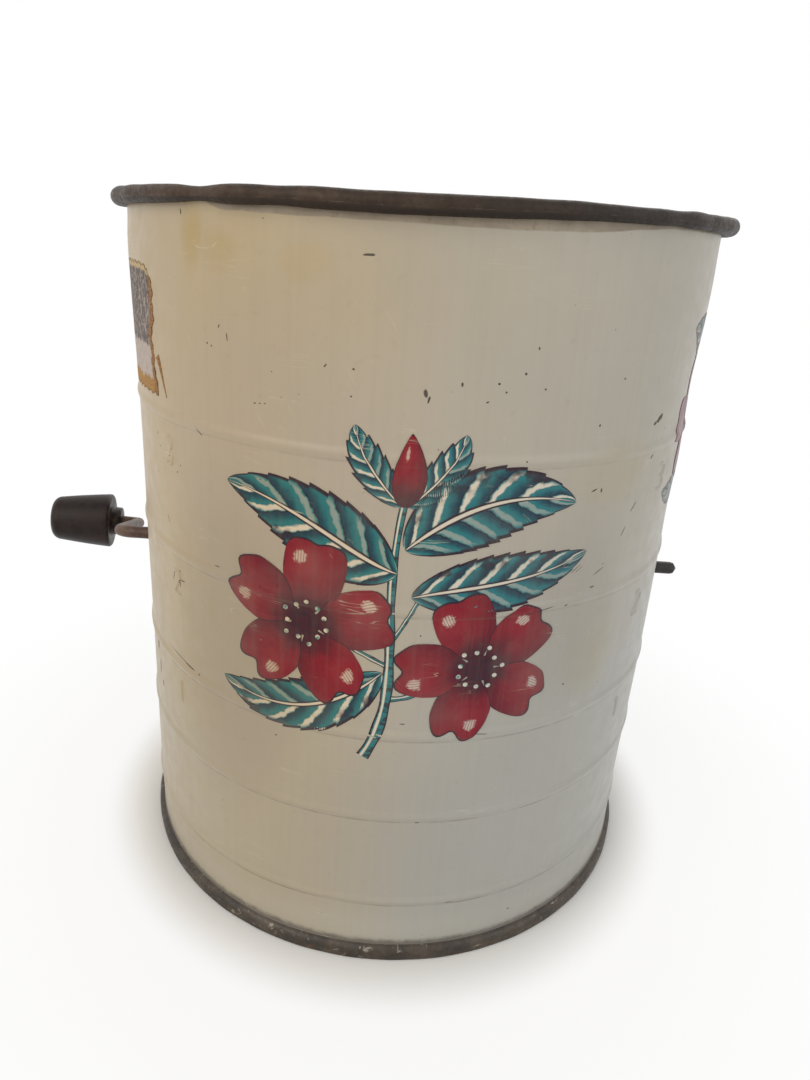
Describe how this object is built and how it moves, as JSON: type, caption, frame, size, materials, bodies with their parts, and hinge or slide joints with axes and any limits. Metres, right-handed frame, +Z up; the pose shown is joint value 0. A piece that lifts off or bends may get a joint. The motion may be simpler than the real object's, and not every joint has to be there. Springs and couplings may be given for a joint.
{
  "type": "hand-cranked flour sifter",
  "caption": "Painted tin measuring flour sifter with a side crank and black knob, wire bows over a round screen, and a strap handle.",
  "frame": {"origin": "centre of the open foot, in the plane that it stands on", "axes": "+Z up the can, crank towards -X, handle towards +Y, printed front towards -Y"},
  "size_m": [0.1605, 0.1493, 0.1374],
  "materials": {
    "painted_tin": "aged cream enamel on tin, worn satin",
    "bare_tin": "dull, darkened tinplate",
    "rusty_wire": "rust-brown steel wire",
    "bow_wire": "dull drawn wire",
    "screen_wire": "woven tinned wire cloth",
    "black_wood": "black satin paint on turned wood",
    "label_paper": "torn, browned paper"
  },
  "bodies": {
    "can": {"body_shell": "painted_tin", "top_rim_wire": "bare_tin", "screen_bowl": "screen_wire", "screen_band": "bare_tin", "left_bearing_eyelet": "bare_tin", "right_bearing_eyelet": "bare_tin", "handle_strap": "painted_tin", "handle_rivets_upper": "bare_tin", "handle_rivets_lower": "bare_tin", "paper_label": "label_paper"},
    "crank": {"crank_rod": "rusty_wire", "agitator_hub_left": "bare_tin", "agitator_hub_right": "bare_tin", "agitator_bow_1": "bow_wire", "agitator_bow_2": "bow_wire", "agitator_bow_3": "bow_wire", "agitator_bow_4": "bow_wire", "knob_washer": "bare_tin"},
    "knob": {"knob": "black_wood"}
  },
  "joints": [
    {"name": "crank_spin", "type": "hinge", "parent": "can", "child": "crank", "pos_m": [0, 0, 0.0628], "axis": [1, 0, 0], "continuous": true},
    {"name": "knob_spin", "type": "hinge", "parent": "crank", "child": "knob", "pos_m": [-0.07362, 0.03558, 0.05103], "axis": [-0.981, -0.1844, 0.061], "continuous": true}
  ]
}
